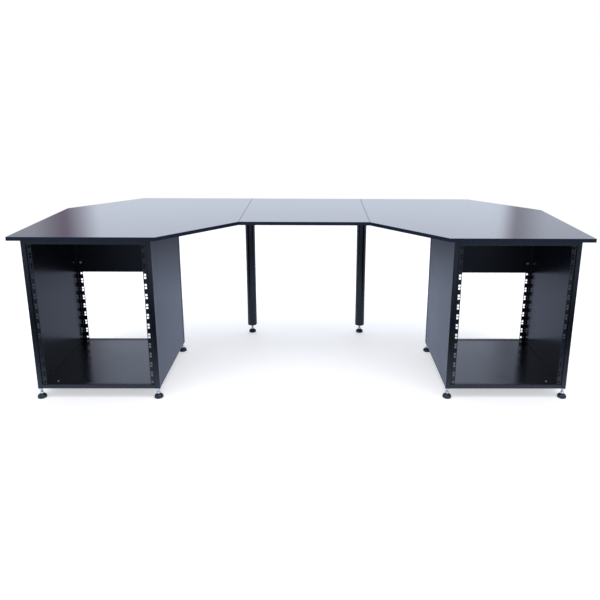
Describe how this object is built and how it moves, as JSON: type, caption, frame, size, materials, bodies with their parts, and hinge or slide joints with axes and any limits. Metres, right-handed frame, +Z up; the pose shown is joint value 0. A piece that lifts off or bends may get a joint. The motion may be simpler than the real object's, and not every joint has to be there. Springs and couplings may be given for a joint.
{
  "type": "studio desk",
  "caption": "Angled studio desk: three black boards over two open rack cabinets with punched rails, two tube legs and screw-adjusted levelling feet.",
  "frame": {"origin": "on the floor, under the middle of the worktop's outline", "axes": "+X to the user's right, +Y away from the user, +Z up"},
  "size_m": [2.4, 0.9, 0.7313],
  "materials": {
    "worktop_laminate": "satin black laminate",
    "side_laminate": "satin black laminate",
    "floor_laminate": "satin black laminate",
    "frame_paint": "satin powder coat",
    "rail_paint": "satin powder coat",
    "blank_paint": "black anodised",
    "plate_steel": "black",
    "zinc": "bright zinc",
    "pad_plastic": "moulded"
  },
  "bodies": {
    "desk": {"worktop_left": "worktop_laminate", "worktop_centre": "worktop_laminate", "worktop_right": "worktop_laminate", "seam_plate_left": "plate_steel", "seam_plate_right": "plate_steel", "left_front_frame": "frame_paint", "left_rear_frame": "frame_paint", "left_inner_side_board": "side_laminate", "left_outer_side_board": "side_laminate", "left_floor_board": "floor_laminate", "left_front_inner_rail": "rail_paint", "left_front_outer_rail": "rail_paint", "left_rear_inner_rail": "rail_paint", "left_rear_outer_rail": "rail_paint", "left_rear_blank_panel": "blank_paint", "left_leg_tube": "frame_paint", "left_leg_plate": "plate_steel", "right_front_frame": "frame_paint", "right_rear_frame": "frame_paint", "right_inner_side_board": "side_laminate", "right_outer_side_board": "side_laminate", "right_floor_board": "floor_laminate", "right_front_inner_rail": "rail_paint", "right_front_outer_rail": "rail_paint", "right_rear_inner_rail": "rail_paint", "right_rear_outer_rail": "rail_paint", "right_rear_blank_panel": "blank_paint", "right_leg_tube": "frame_paint", "right_leg_plate": "plate_steel", "left_front_inner_foot_nut": "zinc", "left_front_outer_foot_nut": "zinc", "left_rear_inner_foot_nut": "zinc", "left_rear_outer_foot_nut": "zinc", "right_front_inner_foot_nut": "zinc", "right_front_outer_foot_nut": "zinc", "right_rear_inner_foot_nut": "zinc", "right_rear_outer_foot_nut": "zinc", "left_leg_foot_nut": "zinc", "right_leg_foot_nut": "zinc"},
    "left_front_inner_pad": {"left_front_inner_foot_pad": "pad_plastic"},
    "left_front_inner_stud": {"left_front_inner_foot_stud": "zinc"},
    "left_front_outer_pad": {"left_front_outer_foot_pad": "pad_plastic"},
    "left_front_outer_stud": {"left_front_outer_foot_stud": "zinc"},
    "left_rear_inner_pad": {"left_rear_inner_foot_pad": "pad_plastic"},
    "left_rear_inner_stud": {"left_rear_inner_foot_stud": "zinc"},
    "left_rear_outer_pad": {"left_rear_outer_foot_pad": "pad_plastic"},
    "left_rear_outer_stud": {"left_rear_outer_foot_stud": "zinc"},
    "right_front_inner_pad": {"right_front_inner_foot_pad": "pad_plastic"},
    "right_front_inner_stud": {"right_front_inner_foot_stud": "zinc"},
    "right_front_outer_pad": {"right_front_outer_foot_pad": "pad_plastic"},
    "right_front_outer_stud": {"right_front_outer_foot_stud": "zinc"},
    "right_rear_inner_pad": {"right_rear_inner_foot_pad": "pad_plastic"},
    "right_rear_inner_stud": {"right_rear_inner_foot_stud": "zinc"},
    "right_rear_outer_pad": {"right_rear_outer_foot_pad": "pad_plastic"},
    "right_rear_outer_stud": {"right_rear_outer_foot_stud": "zinc"},
    "left_leg_pad": {"left_leg_foot_pad": "pad_plastic"},
    "left_leg_stud": {"left_leg_foot_stud": "zinc"},
    "right_leg_pad": {"right_leg_foot_pad": "pad_plastic"},
    "right_leg_stud": {"right_leg_foot_stud": "zinc"}
  },
  "joints": [
    {"name": "left_front_inner_foot_height", "type": "slide", "parent": "desk", "child": "left_front_inner_pad", "axis": [0, 0, -1], "range_m": [-0.012, 0.018]},
    {"name": "left_front_inner_foot_screw", "type": "hinge", "parent": "left_front_inner_pad", "child": "left_front_inner_stud", "pos_m": [-0.635, -0.418, 0.03], "axis": [0, 0, -1], "range_deg": [-2880, 4320]},
    {"name": "left_front_outer_foot_height", "type": "slide", "parent": "desk", "child": "left_front_outer_pad", "axis": [0, 0, -1], "range_m": [-0.012, 0.018]},
    {"name": "left_front_outer_foot_screw", "type": "hinge", "parent": "left_front_outer_pad", "child": "left_front_outer_stud", "pos_m": [-1.145, -0.418, 0.03], "axis": [0, 0, -1], "range_deg": [-2880, 4320]},
    {"name": "left_rear_inner_foot_height", "type": "slide", "parent": "desk", "child": "left_rear_inner_pad", "axis": [0, 0, -1], "range_m": [-0.012, 0.018]},
    {"name": "left_rear_inner_foot_screw", "type": "hinge", "parent": "left_rear_inner_pad", "child": "left_rear_inner_stud", "pos_m": [-0.635, 0.052, 0.03], "axis": [0, 0, -1], "range_deg": [-2880, 4320]},
    {"name": "left_rear_outer_foot_height", "type": "slide", "parent": "desk", "child": "left_rear_outer_pad", "axis": [0, 0, -1], "range_m": [-0.012, 0.018]},
    {"name": "left_rear_outer_foot_screw", "type": "hinge", "parent": "left_rear_outer_pad", "child": "left_rear_outer_stud", "pos_m": [-1.145, 0.052, 0.03], "axis": [0, 0, -1], "range_deg": [-2880, 4320]},
    {"name": "right_front_inner_foot_height", "type": "slide", "parent": "desk", "child": "right_front_inner_pad", "axis": [0, 0, -1], "range_m": [-0.012, 0.018]},
    {"name": "right_front_inner_foot_screw", "type": "hinge", "parent": "right_front_inner_pad", "child": "right_front_inner_stud", "pos_m": [0.635, -0.418, 0.03], "axis": [0, 0, -1], "range_deg": [-2880, 4320]},
    {"name": "right_front_outer_foot_height", "type": "slide", "parent": "desk", "child": "right_front_outer_pad", "axis": [0, 0, -1], "range_m": [-0.012, 0.018]},
    {"name": "right_front_outer_foot_screw", "type": "hinge", "parent": "right_front_outer_pad", "child": "right_front_outer_stud", "pos_m": [1.145, -0.418, 0.03], "axis": [0, 0, -1], "range_deg": [-2880, 4320]},
    {"name": "right_rear_inner_foot_height", "type": "slide", "parent": "desk", "child": "right_rear_inner_pad", "axis": [0, 0, -1], "range_m": [-0.012, 0.018]},
    {"name": "right_rear_inner_foot_screw", "type": "hinge", "parent": "right_rear_inner_pad", "child": "right_rear_inner_stud", "pos_m": [0.635, 0.052, 0.03], "axis": [0, 0, -1], "range_deg": [-2880, 4320]},
    {"name": "right_rear_outer_foot_height", "type": "slide", "parent": "desk", "child": "right_rear_outer_pad", "axis": [0, 0, -1], "range_m": [-0.012, 0.018]},
    {"name": "right_rear_outer_foot_screw", "type": "hinge", "parent": "right_rear_outer_pad", "child": "right_rear_outer_stud", "pos_m": [1.145, 0.052, 0.03], "axis": [0, 0, -1], "range_deg": [-2880, 4320]},
    {"name": "left_leg_foot_height", "type": "slide", "parent": "desk", "child": "left_leg_pad", "axis": [0, 0, -1], "range_m": [-0.012, 0.018]},
    {"name": "left_leg_foot_screw", "type": "hinge", "parent": "left_leg_pad", "child": "left_leg_stud", "pos_m": [-0.3, 0.3, 0.03], "axis": [0, 0, -1], "range_deg": [-2880, 4320]},
    {"name": "right_leg_foot_height", "type": "slide", "parent": "desk", "child": "right_leg_pad", "axis": [0, 0, -1], "range_m": [-0.012, 0.018]},
    {"name": "right_leg_foot_screw", "type": "hinge", "parent": "right_leg_pad", "child": "right_leg_stud", "pos_m": [0.3, 0.3, 0.03], "axis": [0, 0, -1], "range_deg": [-2880, 4320]}
  ],
  "couplings": [
    {"joint": "left_front_inner_foot_screw", "follows": "left_front_inner_foot_height", "rad_per_m": 4188.8},
    {"joint": "left_front_outer_foot_screw", "follows": "left_front_outer_foot_height", "rad_per_m": 4188.8},
    {"joint": "left_rear_inner_foot_screw", "follows": "left_rear_inner_foot_height", "rad_per_m": 4188.8},
    {"joint": "left_rear_outer_foot_screw", "follows": "left_rear_outer_foot_height", "rad_per_m": 4188.8},
    {"joint": "right_front_inner_foot_screw", "follows": "right_front_inner_foot_height", "rad_per_m": 4188.8},
    {"joint": "right_front_outer_foot_screw", "follows": "right_front_outer_foot_height", "rad_per_m": 4188.8},
    {"joint": "right_rear_inner_foot_screw", "follows": "right_rear_inner_foot_height", "rad_per_m": 4188.8},
    {"joint": "right_rear_outer_foot_screw", "follows": "right_rear_outer_foot_height", "rad_per_m": 4188.8},
    {"joint": "left_leg_foot_screw", "follows": "left_leg_foot_height", "rad_per_m": 4188.8},
    {"joint": "right_leg_foot_screw", "follows": "right_leg_foot_height", "rad_per_m": 4188.8}
  ]
}
